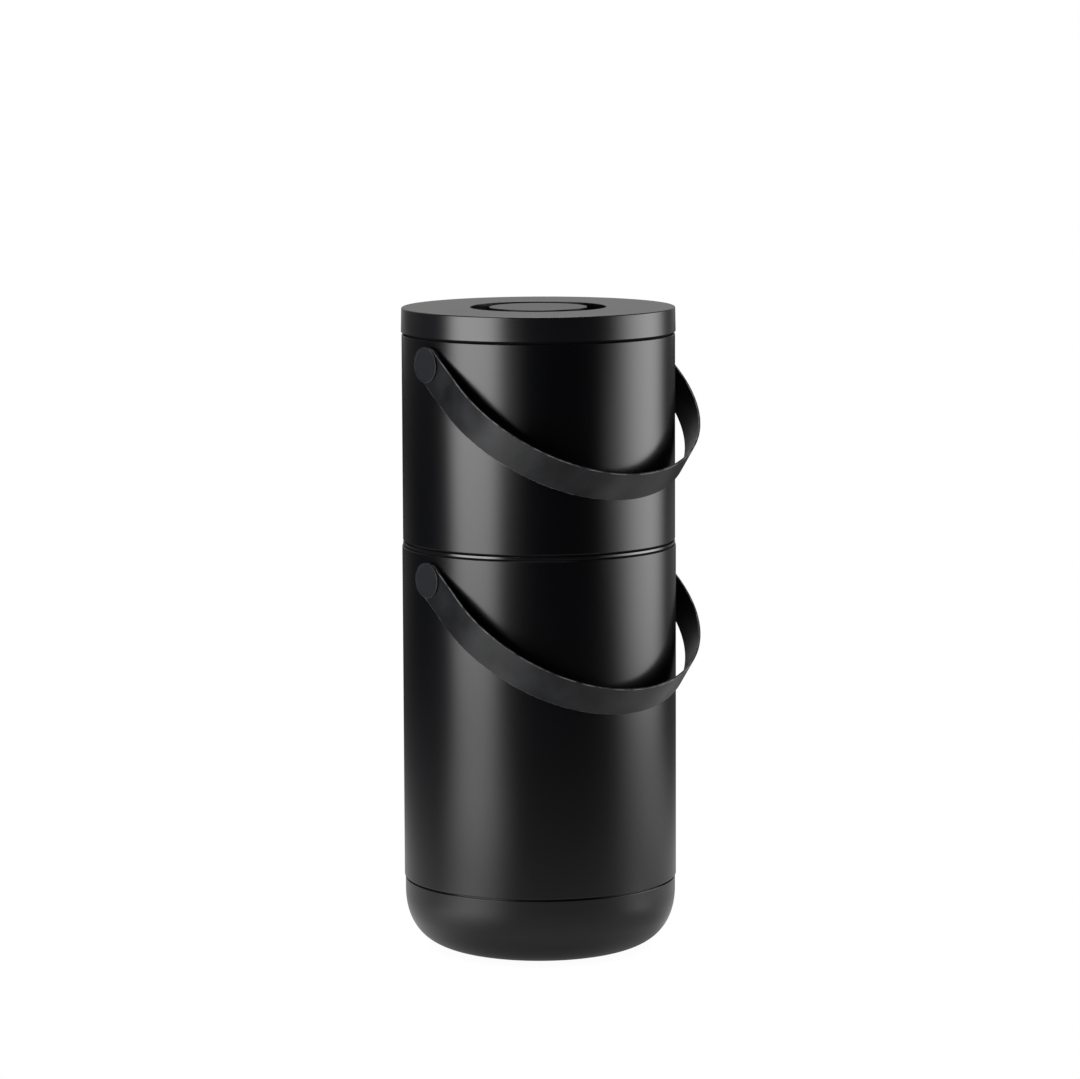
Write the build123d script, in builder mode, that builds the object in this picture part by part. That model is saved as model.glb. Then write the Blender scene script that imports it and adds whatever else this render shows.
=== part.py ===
from build123d import *
import math
import os

# Two-tier stacking compost bin. Millimetres, +Z up, origin at the centre of the face it stands on.
# The handle pivots lie along X, and both handles hang towards -Y.

# Radii and walls
body_radius = 120.0
upper_inset = 0.7
base_inset = 0.8
lid_overhang = 0.5
sleeve_wall = 1.0
sleeve_edge_radius = 0.8
hem_height = 8.0
groove_depth = 1.5
moulding_wall = 2.5

# Heights, from the floor up
foot_proud = 0.8
base_corner = 51.4
base_corner_fullness = 0.64
base_straight = 10.6
base_groove = 1.3
lower_sleeve_height = 293.2
rim_flange = 1.4
stacking_ring_height = 2.6
floor_flange = 1.0
upper_sleeve_height = 180.9
lid_height = 21.0

# Mouldings inside
spigot_depth = 8.0
spigot_rise = 10.0
rim_skirt_margin = 5.0
base_edge_radius = 0.6
base_floor = 3.0
base_taper = 4.0
pan_floor = 2.5
pan_step = 2.3
stacking_ring_bulge = 0.9

# Foot pad
foot_margin = 5.8
foot_recess = 1.2

# Lid
lid_draft = 1.1
lid_skirt_wall = 3.0
lid_edge_radius = 0.8
grip_radius = 42.6
grip_thickness = 4.5
grip_edge_radius = 1.0
grip_stem_radius = 13.0
finger_gap = 16.8
well_depth = 20.0
well_corner = 12.0
well_flange = 1.5
well_flange_width = 6.0
plug_rib = 3.0
plug_gap = 0.8
seal_groove_depth = 1.5
seal_height = 3.0
seal_lift = 2.0
grip_screw_radius = 2.5
grip_thread_depth = 3.0
grip_screw_head_radius = 4.75
grip_screw_head = 2.8

# Strap handles
strap_width = 30.4
strap_thickness = 1.8
strap_edge_radius = 0.6
strap_clearance = 2.6
strap_leg = 33.0
strap_flare = 4.0
strap_rest_gap = 0.4

# Pivots
cap_overlap = 0.1
cap_thickness = 1.7
cap_edge_radius = 0.5
cap_dish_margin = 2.0
cap_dish_depth = 0.25
shoulder_radius = 6.0
stud_radius = 3.0
bush_inset = 1.2
bush_neck_radius = 8.0
boss_gap = 0.7
boss_proud = 4.0
washer_radius = 8.0
washer_thickness = 1.2
nut_across_flats = 10.0
nut_height = 5.0
nut_dome_wall = 1.5

# Clearances
seat_clearance = 0.1
slide_clearance = 0.4
running_clearance = 0.05
thread_clearance = 0.05
strap_play = 0.15

# Radii that follow
upper_radius = body_radius - upper_inset
base_radius = body_radius - base_inset
lid_radius = upper_radius + lid_overhang
lid_top_radius = lid_radius - lid_height * math.tan(math.radians(lid_draft))
well_radius = grip_radius + finger_gap
cap_radius = strap_width / 2 + cap_overlap
bush_radius = strap_width / 2 - bush_inset
boss_radius = bush_radius
foot_radius = base_radius - base_corner - foot_margin

# Heights that follow
base_top = foot_proud + base_corner + base_straight
lower_sleeve_bottom = base_top + base_groove
lower_sleeve_top = lower_sleeve_bottom + lower_sleeve_height
lower_rim_top = lower_sleeve_top + rim_flange
stacking_ring_top = lower_rim_top + stacking_ring_height
upper_sleeve_bottom = stacking_ring_top + floor_flange
upper_sleeve_top = upper_sleeve_bottom + upper_sleeve_height
upper_rim_top = upper_sleeve_top + rim_flange
lid_top = upper_rim_top + lid_height

# Strap geometry, in the strap's own plane: across is X, along runs from the pivots to the bow
strap_inner = max(body_radius, lid_radius) + strap_clearance
strap_outer = strap_inner + strap_thickness
bow_radius = strap_outer / math.cos(math.radians(strap_flare))
bow_centre = strap_leg + bow_radius * math.sin(math.radians(strap_flare))
bow_reach = bow_centre + bow_radius

os.makedirs("parts", exist_ok=True)


def write(piece, name):
    """Label a finished piece and write it as one STEP file."""
    piece.part.label = name
    export_step(piece.part, f"parts/{name}.step")


def hem_bore(radius):
    """Radius inside the folded edge of a sleeve of the given outer radius."""
    return radius - 2 * sleeve_wall


def rim_bore(radius):
    """Radius inside the rim that fits a sleeve of the given outer radius."""
    return hem_bore(radius) - seat_clearance - moulding_wall


def pivot_height(rim_top):
    """Height of the handle pivots under a rim: the bosses clear whatever plugs the rim from above."""
    return rim_top - spigot_depth - boss_gap - boss_radius


def rest_tilt(radius):
    """Angle in degrees below level at which a strap comes to rest on a wall of the given radius."""
    inner_reach = bow_reach - strap_thickness
    edge_reach = math.hypot(inner_reach, strap_width / 2)
    edge_angle = math.atan2(strap_width / 2, inner_reach)
    return math.degrees(math.acos((radius + strap_rest_gap) / edge_reach) - edge_angle)


def side_plane(side, height):
    """Plane on the bin's axis at a pivot's height, whose normal points out along +X or -X."""
    return Plane(origin=(0, 0, height), x_dir=(0, side, 0), z_dir=(side, 0, 0))


def make_sleeve(name, radius, bottom, height):
    """Sheet-metal wall of a bucket, with its edges folded inwards and a hole for each pivot bush."""
    top = bottom + height
    pivot = pivot_height(top + rim_flange)
    with BuildPart() as sleeve:
        with BuildSketch(Plane.XZ):
            with BuildLine():
                Polyline(
                    (radius, bottom),
                    (radius, top),
                    (hem_bore(radius), top),
                    (hem_bore(radius), top - hem_height),
                    (radius - sleeve_wall, top - hem_height),
                    (radius - sleeve_wall, bottom + hem_height),
                    (hem_bore(radius), bottom + hem_height),
                    (hem_bore(radius), bottom),
                    close=True,
                )
            outline = make_face()
            fillet(outline.vertices().group_by(Axis.X)[-1], sleeve_edge_radius)
        revolve(axis=Axis.Z)
        for side in (1, -1):
            with BuildSketch(side_plane(side, pivot)):
                Circle(bush_neck_radius + seat_clearance)
            extrude(amount=2 * radius, mode=Mode.SUBTRACT)
    write(sleeve, name)


def make_rim(name, radius, sleeve_top):
    """Moulded ring inside the top of a sleeve: a flange on its edge, a skirt and two pivot bosses."""
    rim_top = sleeve_top + rim_flange
    pivot = pivot_height(rim_top)
    skirt_bottom = pivot - boss_radius - rim_skirt_margin
    skirt_radius = hem_bore(radius) - seat_clearance
    bore = rim_bore(radius)
    with BuildPart() as rim:
        with BuildSketch(Plane.XZ):
            with BuildLine():
                Polyline(
                    (bore, skirt_bottom),
                    (skirt_radius, skirt_bottom),
                    (skirt_radius, sleeve_top),
                    (radius - groove_depth, sleeve_top),
                    (radius - groove_depth, rim_top),
                    (bore, rim_top),
                    close=True,
                )
            make_face()
        revolve(axis=Axis.Z)
        for side in (1, -1):
            with BuildSketch(side_plane(side, pivot).offset(bore - boss_proud)):
                Circle(boss_radius)
            extrude(amount=boss_proud + moulding_wall / 2)
            with BuildSketch(side_plane(side, pivot)):
                Circle(stud_radius + seat_clearance)
            extrude(amount=radius, mode=Mode.SUBTRACT)
    write(rim, name)


def make_strap(name, radius, rim_top):
    """Flat bowed strap: two straight legs, a bow that flares slightly from them, and rounded ends."""
    pivot = pivot_height(rim_top)
    tilt = math.radians(rest_tilt(radius))
    origin = (0, 0, pivot)
    bow_plane = Plane(origin=origin, x_dir=(1, 0, 0), z_dir=(0, math.sin(tilt), -math.cos(tilt)))
    end_plane = Plane(origin=origin, x_dir=(0, -math.cos(tilt), -math.sin(tilt)), z_dir=(1, 0, 0))
    inner_bow = bow_radius - strap_thickness
    inner_leg = bow_centre - math.sqrt(inner_bow**2 - strap_inner**2)
    inner_reach = bow_centre + inner_bow
    end = -strap_width / 2
    with BuildPart() as strap:
        with BuildSketch(bow_plane):
            with BuildLine():
                Polyline(
                    (strap_inner, inner_leg),
                    (strap_inner, end),
                    (strap_outer, end),
                    (strap_outer, strap_leg),
                )
                ThreePointArc((strap_outer, strap_leg), (0, bow_reach), (-strap_outer, strap_leg))
                Polyline(
                    (-strap_outer, strap_leg),
                    (-strap_outer, end),
                    (-strap_inner, end),
                    (-strap_inner, inner_leg),
                )
                ThreePointArc((-strap_inner, inner_leg), (0, inner_reach), (strap_inner, inner_leg))
            make_face()
        extrude(amount=strap_width / 2, both=True)
        with BuildSketch(end_plane):
            Circle(strap_width / 2)
            with Locations((bow_reach / 2, 0)):
                Rectangle(bow_reach, strap_width)
        extrude(amount=bow_radius, both=True, mode=Mode.INTERSECT)
        fillet(strap.edges().filter_by(Axis(origin, bow_plane.z_dir), reverse=True), strap_edge_radius)
        with BuildSketch(end_plane):
            Circle(shoulder_radius + running_clearance)
        extrude(amount=bow_radius, both=True, mode=Mode.SUBTRACT)
    write(strap, name)


def make_pivot(prefix, side, radius, rim_top):
    """One pivot: cap with shoulder and stud, bush on the wall, washer and domed nut on the boss."""
    plane = side_plane(side, pivot_height(rim_top))
    strap_face = strap_outer + strap_play
    bush_face = strap_inner - strap_play
    skirt_radius = hem_bore(radius) - seat_clearance
    boss_face = rim_bore(radius) - boss_proud
    washer_face = boss_face - washer_thickness
    nut_end = washer_face - nut_height

    with BuildPart() as cap:
        with BuildSketch(plane.offset(strap_face)):
            Circle(cap_radius)
        extrude(amount=cap_thickness)
        rim_edge = cap.edges().group_by(Axis.X)[-1 if side > 0 else 0]
        fillet(rim_edge, cap_edge_radius)
        with BuildSketch(plane.offset(strap_face + cap_thickness)):
            Circle(cap_radius - cap_dish_margin)
        extrude(amount=-cap_dish_depth, mode=Mode.SUBTRACT)
        with BuildSketch(plane.offset(bush_face)):
            Circle(shoulder_radius)
        extrude(amount=strap_face - bush_face)
        with BuildSketch(plane.offset(nut_end)):
            Circle(stud_radius)
        extrude(amount=bush_face - nut_end)
    write(cap, f"{prefix}_pivot_cap")

    with BuildPart() as bush:
        with BuildSketch(plane):
            Circle(bush_radius)
        extrude(amount=bush_face)
        Cylinder(radius + running_clearance, 2 * (lid_top + radius), mode=Mode.SUBTRACT)
        with BuildSketch(plane):
            Circle(bush_neck_radius)
        extrude(amount=bush_face)
        Cylinder(skirt_radius + running_clearance, 2 * (lid_top + radius), mode=Mode.SUBTRACT)
        with BuildSketch(plane):
            Circle(stud_radius + running_clearance)
        extrude(amount=bush_face, mode=Mode.SUBTRACT)
    write(bush, f"{prefix}_pivot_bush")

    with BuildPart() as washer:
        with BuildSketch(plane.offset(washer_face)):
            Circle(washer_radius)
            Circle(stud_radius + seat_clearance, mode=Mode.SUBTRACT)
        extrude(amount=washer_thickness)
    write(washer, f"{prefix}_pivot_washer")

    with BuildPart() as nut:
        with BuildSketch(plane.offset(nut_end)):
            RegularPolygon(nut_across_flats / 2, 6, major_radius=False)
        extrude(amount=nut_height)
        with Locations(plane.offset(nut_end)):
            Sphere(stud_radius + nut_dome_wall)
        with BuildSketch(plane.offset(nut_end)):
            Circle(stud_radius + thread_clearance)
        extrude(amount=nut_height, mode=Mode.SUBTRACT)
    write(nut, f"{prefix}_pivot_nut")


# Base cup: rounded foot outside, a neck in the seam groove, and a spigot inside the lower sleeve
spigot_radius = hem_bore(body_radius) - seat_clearance
spigot_bore = spigot_radius - moulding_wall
base_bore = base_radius - moulding_wall
inner_corner = base_corner - moulding_wall
with BuildPart() as base_cup:
    with BuildSketch(Plane.XZ):
        with BuildLine():
            Line((0, foot_proud), (base_radius - base_corner, foot_proud))
            Bezier(
                (base_radius - base_corner, foot_proud),
                (base_radius - base_corner * (1 - base_corner_fullness), foot_proud),
                (base_radius, foot_proud + base_corner * (1 - base_corner_fullness)),
                (base_radius, foot_proud + base_corner),
            )
            Polyline(
                (base_radius, foot_proud + base_corner),
                (base_radius, base_top),
                (body_radius - groove_depth, base_top),
                (body_radius - groove_depth, lower_sleeve_bottom),
                (spigot_radius, lower_sleeve_bottom),
                (spigot_radius, lower_sleeve_bottom + spigot_rise),
                (spigot_bore, lower_sleeve_bottom + spigot_rise),
                (spigot_bore, base_top),
                (base_bore, base_top - base_taper),
                (base_bore, foot_proud + base_floor + inner_corner),
            )
            Bezier(
                (base_bore, foot_proud + base_floor + inner_corner),
                (base_bore, foot_proud + base_floor + inner_corner * (1 - base_corner_fullness)),
                (base_bore - inner_corner * (1 - base_corner_fullness), foot_proud + base_floor),
                (base_bore - inner_corner, foot_proud + base_floor),
            )
            Polyline(
                (base_bore - inner_corner, foot_proud + base_floor),
                (0, foot_proud + base_floor),
                (0, foot_proud),
            )
        cup_outline = make_face()
        shoulder = cup_outline.vertices().group_by(Axis.X)[-1].sort_by(Axis.Y)[-1]
        fillet(shoulder, base_edge_radius)
    revolve(axis=Axis.Z)
    with BuildSketch(Plane.XY.offset(foot_proud)):
        Circle(foot_radius)
    extrude(amount=foot_recess, mode=Mode.SUBTRACT)
write(base_cup, "base_cup")

# Foot pad: anti-slip rubber disc in the recess under the base
with BuildPart() as foot_pad:
    with BuildSketch():
        Circle(foot_radius - seat_clearance)
    extrude(amount=foot_proud + foot_recess)
    fillet(foot_pad.edges().group_by(Axis.Z)[0], foot_proud / 2)
write(foot_pad, "foot_pad")

# Upper floor: pan with a spigot up inside the upper sleeve and a spigot down inside the lower rim
pan_radius = rim_bore(body_radius) - slide_clearance
pan_bottom = lower_rim_top - spigot_depth
pan_collar = hem_bore(upper_radius) - seat_clearance
with BuildPart() as upper_floor:
    with BuildSketch(Plane.XZ):
        with BuildLine():
            Polyline(
                (0, pan_bottom),
                (pan_radius, pan_bottom),
                (pan_radius, stacking_ring_top),
                (upper_radius - groove_depth, stacking_ring_top),
                (upper_radius - groove_depth, upper_sleeve_bottom),
                (pan_collar, upper_sleeve_bottom),
                (pan_collar, upper_sleeve_bottom + spigot_rise),
                (pan_collar - moulding_wall, upper_sleeve_bottom + spigot_rise),
                (pan_collar - moulding_wall, upper_sleeve_bottom),
                (pan_radius - moulding_wall, upper_sleeve_bottom - pan_step),
                (pan_radius - moulding_wall, pan_bottom + pan_floor),
                (0, pan_bottom + pan_floor),
                close=True,
            )
        make_face()
    revolve(axis=Axis.Z)
write(upper_floor, "upper_floor")

# Stacking ring: bulged ring pressed on the pan's lower spigot, shown in the seam between the buckets
ring_edge = upper_radius - stacking_ring_bulge
with BuildPart() as stacking_ring:
    with BuildSketch(Plane.XZ):
        with BuildLine():
            Polyline(
                (ring_edge, stacking_ring_top),
                (pan_radius + seat_clearance, stacking_ring_top),
                (pan_radius + seat_clearance, lower_rim_top),
                (ring_edge, lower_rim_top),
            )
            ThreePointArc(
                (ring_edge, lower_rim_top),
                (upper_radius, lower_rim_top + stacking_ring_height / 2),
                (ring_edge, stacking_ring_top),
            )
        make_face()
    revolve(axis=Axis.Z)
write(stacking_ring, "stacking_ring")

# Lid: ring-shaped top with a drafted skirt, and a plug rib with a groove for the seal
plate_bottom = lid_top - moulding_wall
plug_radius = rim_bore(upper_radius) - plug_gap
plug_bottom = upper_rim_top - spigot_depth
seal_bottom = plug_bottom + seal_lift
with BuildPart() as lid_cap:
    with BuildSketch(Plane.XZ):
        with BuildLine():
            Polyline(
                (well_radius, plate_bottom),
                (well_radius, lid_top),
                (lid_top_radius, lid_top),
                (lid_radius, upper_rim_top),
                (lid_radius - lid_skirt_wall, upper_rim_top),
                (lid_radius - lid_skirt_wall, plate_bottom),
                (plug_radius, plate_bottom),
                (plug_radius, plug_bottom),
                (plug_radius - plug_rib, plug_bottom),
                (plug_radius - plug_rib, plate_bottom),
                close=True,
            )
        lid_outline = make_face()
        fillet(lid_outline.vertices().group_by(Axis.Y)[-1], lid_edge_radius)
    revolve(axis=Axis.Z)
    with BuildSketch(Plane.XY.offset(seal_bottom)):
        Circle(plug_radius)
        Circle(plug_radius - seal_groove_depth, mode=Mode.SUBTRACT)
    extrude(amount=seal_height, mode=Mode.SUBTRACT)
write(lid_cap, "lid_cap")

# Lid well: bowl under the opening of the lid, with a flange against the underside of the top
well_floor = lid_top - well_depth
well_back = well_radius + moulding_wall
well_base = well_floor - moulding_wall
flange_radius = well_back + well_flange_width
flange_bottom = plate_bottom - well_flange
with BuildPart() as lid_well:
    with BuildSketch(Plane.XZ):
        with BuildLine():
            Polyline(
                (0, well_floor),
                (well_radius, well_floor),
                (well_radius, plate_bottom),
                (flange_radius, plate_bottom),
                (flange_radius, flange_bottom),
                (well_back, flange_bottom),
                (well_back, well_base),
                (0, well_base),
                close=True,
            )
        well_outline = make_face()
        inner_corner_point = well_outline.vertices().sort_by_distance((well_radius, well_floor))[0]
        outer_corner_point = well_outline.vertices().sort_by_distance((well_back, well_base))[0]
        fillet(inner_corner_point, well_corner)
        fillet(outer_corner_point, well_corner + moulding_wall)
    revolve(axis=Axis.Z)
    with BuildSketch(Plane.XY.offset(well_base)):
        Circle(grip_screw_radius + seat_clearance)
    extrude(amount=moulding_wall, mode=Mode.SUBTRACT)
write(lid_well, "lid_well")

# Lid seal: rubber ring in the groove of the plug rib
with BuildPart() as lid_seal:
    with BuildSketch(Plane.XY.offset(seal_bottom)):
        Circle(rim_bore(upper_radius) - slide_clearance)
        Circle(plug_radius - seal_groove_depth + running_clearance, mode=Mode.SUBTRACT)
    extrude(amount=seal_height)
write(lid_seal, "lid_seal")

# Lid grip: disc level with the lid's top, with a blind threaded hole underneath
grip_bottom = lid_top - grip_thickness
with BuildPart() as lid_grip:
    with BuildSketch(Plane.XY.offset(grip_bottom)):
        Circle(grip_radius)
    extrude(amount=grip_thickness)
    fillet(lid_grip.edges(), grip_edge_radius)
    with BuildSketch(Plane.XY.offset(grip_bottom)):
        Circle(grip_screw_radius + thread_clearance)
    extrude(amount=grip_thread_depth, mode=Mode.SUBTRACT)
write(lid_grip, "lid_grip")

# Grip stem: spacer between the floor of the well and the disc
with BuildPart() as lid_grip_stem:
    with BuildSketch(Plane.XY.offset(well_floor)):
        Circle(grip_stem_radius)
        Circle(grip_screw_radius + seat_clearance, mode=Mode.SUBTRACT)
    extrude(amount=grip_bottom - well_floor)
write(lid_grip_stem, "lid_grip_stem")

# Grip screw: driven up through the floor of the well and the stem into the disc
with BuildPart() as lid_grip_screw:
    with BuildSketch(Plane.XY.offset(well_base - grip_screw_head)):
        Circle(grip_screw_head_radius)
    extrude(amount=grip_screw_head)
    fillet(lid_grip_screw.edges().group_by(Axis.Z)[0], grip_screw_head / 2)
    with BuildSketch(Plane.XY.offset(well_base)):
        Circle(grip_screw_radius)
    extrude(amount=grip_bottom + grip_thread_depth - well_base)
write(lid_grip_screw, "lid_grip_screw")

# The two buckets share the shapes of their sleeve, rim, strap and pivots
make_sleeve("lower_sleeve", body_radius, lower_sleeve_bottom, lower_sleeve_height)
make_sleeve("upper_sleeve", upper_radius, upper_sleeve_bottom, upper_sleeve_height)
buckets = (("lower", body_radius, lower_sleeve_top), ("upper", upper_radius, upper_sleeve_top))
for bucket, radius, sleeve_top in buckets:
    rim_top = sleeve_top + rim_flange
    make_rim(f"{bucket}_rim", radius, sleeve_top)
    make_strap(f"{bucket}_handle_strap", radius, rim_top)
    make_pivot(f"{bucket}_right", 1, radius, rim_top)
    make_pivot(f"{bucket}_left", -1, radius, rim_top)
    print(f"{bucket} pivot height {pivot_height(rim_top):.3f} rest tilt {rest_tilt(radius):.3f}")
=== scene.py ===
"""Looks of a two-tier stacking compost bin: turned shells, strap handles, finishes and a plain studio."""

import logging
import math
from collections.abc import Mapping, Sequence
from dataclasses import dataclass, field
from enum import Enum
from typing import NamedTuple

import bpy
from mathutils import Matrix, Vector


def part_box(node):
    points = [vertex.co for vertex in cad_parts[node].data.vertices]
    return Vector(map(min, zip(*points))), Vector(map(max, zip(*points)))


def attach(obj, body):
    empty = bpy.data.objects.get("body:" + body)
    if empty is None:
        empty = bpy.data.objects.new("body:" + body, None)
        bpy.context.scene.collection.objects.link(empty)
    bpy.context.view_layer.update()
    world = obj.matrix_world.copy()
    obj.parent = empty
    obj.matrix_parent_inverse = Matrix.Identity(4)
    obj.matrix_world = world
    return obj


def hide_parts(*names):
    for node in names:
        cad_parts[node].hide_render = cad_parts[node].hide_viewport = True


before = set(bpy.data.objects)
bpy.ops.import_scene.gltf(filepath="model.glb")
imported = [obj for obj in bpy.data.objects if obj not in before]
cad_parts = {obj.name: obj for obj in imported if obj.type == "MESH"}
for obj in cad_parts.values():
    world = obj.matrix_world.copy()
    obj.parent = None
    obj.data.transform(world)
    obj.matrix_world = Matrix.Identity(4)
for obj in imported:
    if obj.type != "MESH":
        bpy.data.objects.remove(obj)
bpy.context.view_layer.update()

MM = 0.001
MICRON = 0.000001
CAMERA_AZIMUTH = -39.55
log = logging.getLogger("compost_bin")

Colour = tuple[float, float, float]
Socket = bpy.types.NodeSocket
Given = float | tuple[float, ...] | Vector | Socket


def round_axis(azimuth: float, distance: float, height: float = 0.0) -> Vector:
    """Place round the bin's axis; azimuth 0 is towards -Y and it grows towards +X, in degrees."""
    angle = math.radians(azimuth)
    return Vector((distance * math.sin(angle), -distance * math.cos(angle), height))


class Tier(Enum):
    """The two buckets, which share their build."""

    LOWER = "lower"
    UPPER = "upper"


class Side(Enum):
    """The two pivots of a handle, by the sign of X."""

    LEFT = -1
    RIGHT = 1

    @property
    def word(self) -> str:
        """The side as it stands in node names."""
        return self.name.lower()


class FaceCorner(NamedTuple):
    """One corner of a face: its place, the surface normal there, and how much of an edge it is."""

    place: Vector
    normal: Vector
    edge: float = 0.0


class FaceCollector:
    """Collects faces with their own corner normals and joins corners that share a place."""

    GRID_PER_METRE = 1e7

    def __init__(self) -> None:
        """Start with no faces."""
        self._index: dict[tuple[int, ...], int] = {}
        self._places: list[Vector] = []
        self._edges: list[float] = []
        self._faces: list[list[int]] = []
        self._normals: list[Vector] = []

    def _vertex(self, corner: FaceCorner) -> int:
        """Number of the vertex at a corner, made if it is new.

        Args:
            corner: The corner to look up.

        Returns:
            The vertex number.
        """
        key = tuple(round(value * self.GRID_PER_METRE) for value in corner.place)
        if key not in self._index:
            self._index[key] = len(self._places)
            self._places.append(corner.place)
            self._edges.append(corner.edge)
        return self._index[key]

    def add(self, corners: Sequence[FaceCorner]) -> None:
        """Add one face, turned to the side of its normals, leaving out corners that fall together.

        Args:
            corners: The corners in order round the face, either way.
        """
        numbers: list[int] = []
        normals: list[Vector] = []
        area = Vector((0, 0, 0))
        for here, after in zip(corners, [*corners[1:], corners[0]]):
            area += here.place.cross(after.place)
        forward = sum(area.dot(corner.normal) for corner in corners) > 0
        for corner in corners if forward else reversed(corners):
            number = self._vertex(corner)
            if number not in numbers:
                numbers.append(number)
                normals.append(corner.normal)
        if len(numbers) > 2:
            self._faces.append(numbers)
            self._normals.extend(normals)

    def make(self, name: str, turn: Matrix | None = None) -> bpy.types.Object:
        """Make the mesh object and link it.

        Args:
            name: Name of the object.
            turn: Placement applied to the vertices and normals, if any.

        Returns:
            The new object.
        """
        turn = turn or Matrix.Identity(4)
        spin = turn.to_3x3()
        mesh = bpy.data.meshes.new(name)
        mesh.from_pydata([turn @ place for place in self._places], [], self._faces)
        mesh.attributes.new("edge", "FLOAT", "POINT").data.foreach_set("value", self._edges)
        mesh.polygons.foreach_set("use_smooth", [True] * len(mesh.polygons))
        mesh.normals_split_custom_set([(spin @ normal).normalized() for normal in self._normals])
        piece = bpy.data.objects.new(name, mesh)
        bpy.context.scene.collection.objects.link(piece)
        return piece


@dataclass(frozen=True)
class Corner:
    """One corner of a turned outline, in metres; smooth marks a point on a curve."""

    radius: float
    height: float
    rounding: float = 0.0
    smooth: bool = False

    @property
    def place(self) -> Vector:
        """The corner as a point of the outline's plane."""
        return Vector((self.radius, self.height))


class ProfilePoint(NamedTuple):
    """End of a profile span: place, normal on that span, and edge value."""

    place: Vector
    normal: Vector
    edge: float = 0.0


def curve_corners(ends: Sequence[Vector], steps: int) -> list[Corner]:
    """Points along a cubic curve, for use as smooth corners.

    Args:
        ends: Start, first handle, second handle and end, as radius and height.
        steps: Number of spans along the curve.

    Returns:
        The smooth corners from start to end.
    """
    start, pull_out, pull_in, end = ends
    corners = []
    for step in range(steps + 1):
        t = step / steps
        u = 1 - t
        place = u**3 * start + 3 * u * u * t * pull_out + 3 * u * t * t * pull_in + t**3 * end
        corners.append(Corner(place.x, place.y, smooth=True))
    return corners


class TurnedOutline:
    """Outline of a turned piece as spans with exact normals; it runs counter-clockwise round the material."""

    ROUND_STEPS = 6

    def __init__(self, corners: Sequence[Corner], ring: bool) -> None:
        """Work out the spans.

        Args:
            corners: The corners in order.
            ring: True if the outline closes on itself, False if it starts and ends on the axis.
        """
        self._corners = list(corners)
        self._ring = ring
        self.spans: list[tuple[ProfilePoint, ProfilePoint]] = []
        self._draw()

    @staticmethod
    def _outward(run: Vector) -> Vector:
        """Normal to the right of a run of the outline."""
        return Vector((run.y, -run.x)).normalized()

    def _run(self, number: int) -> Vector:
        """Way from a corner to the next one."""
        after = (number + 1) % len(self._corners)
        return self._corners[after].place - self._corners[number].place

    def _smooth_normal(self, number: int) -> Vector:
        """Normal at a point on a curve; beside a straight run it takes the run's normal.

        Args:
            number: Number of the corner.

        Returns:
            The unit normal.
        """
        before = self._outward(self._run(number - 1))
        after = self._outward(self._run(number))
        if not self._corners[number - 1].smooth:
            return before
        if not self._corners[(number + 1) % len(self._corners)].smooth:
            return after
        return (before + after).normalized()

    def _rounded(self, number: int) -> list[ProfilePoint]:
        """Points of the arc at a rounded corner.

        Args:
            number: Number of the corner.

        Returns:
            The points from the run before the corner to the run after it.
        """
        corner = self._corners[number]
        before = self._run(number - 1).normalized()
        normal = self._outward(before)
        angle = -before.angle_signed(self._run(number))
        bulge = math.copysign(1.0, angle)
        tangent = corner.place - before * corner.rounding * math.tan(abs(angle) / 2)
        centre = tangent - normal * corner.rounding * bulge
        points = []
        for step in range(self.ROUND_STEPS + 1):
            share = step / self.ROUND_STEPS
            turned = Matrix.Rotation(angle * share, 2) @ normal
            place = centre + turned * corner.rounding * bulge
            points.append(ProfilePoint(place, turned, bulge * math.sin(math.pi * share)))
        return points

    def _draw(self) -> None:
        """Fill the list of spans from the corners."""
        count = len(self._corners)
        arcs = [self._rounded(n) if corner.rounding else None for n, corner in enumerate(self._corners)]
        for number in range(count if self._ring else count - 1):
            after = (number + 1) % count
            normal = self._outward(self._run(number))
            start = ProfilePoint(self._corners[number].place, normal)
            end = ProfilePoint(self._corners[after].place, normal)
            if arcs[number]:
                self.spans.extend(zip(arcs[number], arcs[number][1:]))
                start = arcs[number][-1]
            elif self._corners[number].smooth:
                start = start._replace(normal=self._smooth_normal(number))
            if arcs[after]:
                end = arcs[after][0]
            elif self._corners[after].smooth:
                end = end._replace(normal=self._smooth_normal(after))
            self.spans.append((start, end))


class Lathe:
    """Turns an outline round the Z axis into faces."""

    WALL_SEGMENTS = 256
    LID_SEGMENTS = 192
    CAP_SEGMENTS = 96

    def __init__(self, corners: Sequence[Corner], segments: int = WALL_SEGMENTS, ring: bool = True) -> None:
        """Keep the outline.

        Args:
            corners: Corners of the outline.
            segments: Number of steps round the axis.
            ring: False if the outline starts and ends on the axis.
        """
        self.outline = TurnedOutline(corners, ring)
        self.segments = segments

    def corner(self, point: ProfilePoint, step: int) -> FaceCorner:
        """A profile point turned to one step.

        Args:
            point: Point of the profile.
            step: Step round the axis.

        Returns:
            The face corner there.
        """
        angle = 2 * math.pi * (step % self.segments) / self.segments
        turned = Vector((math.cos(angle), math.sin(angle), 0))
        place = turned * point.place.x + Vector((0, 0, point.place.y))
        normal = turned * point.normal.x + Vector((0, 0, point.normal.y))
        return FaceCorner(place, normal, point.edge)

    def keeps(self, start: ProfilePoint, end: ProfilePoint, step: int) -> bool:
        """True where a face is wanted."""
        return True

    def faces(self) -> FaceCollector:
        """All faces of the turned piece.

        Returns:
            The collector that holds them.
        """
        collector = FaceCollector()
        for start, end in self.outline.spans:
            for step in range(self.segments):
                if self.keeps(start, end, step):
                    quad = ((start, step), (start, step + 1), (end, step + 1), (end, step))
                    collector.add([self.corner(point, turn) for point, turn in quad])
        return collector


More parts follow.
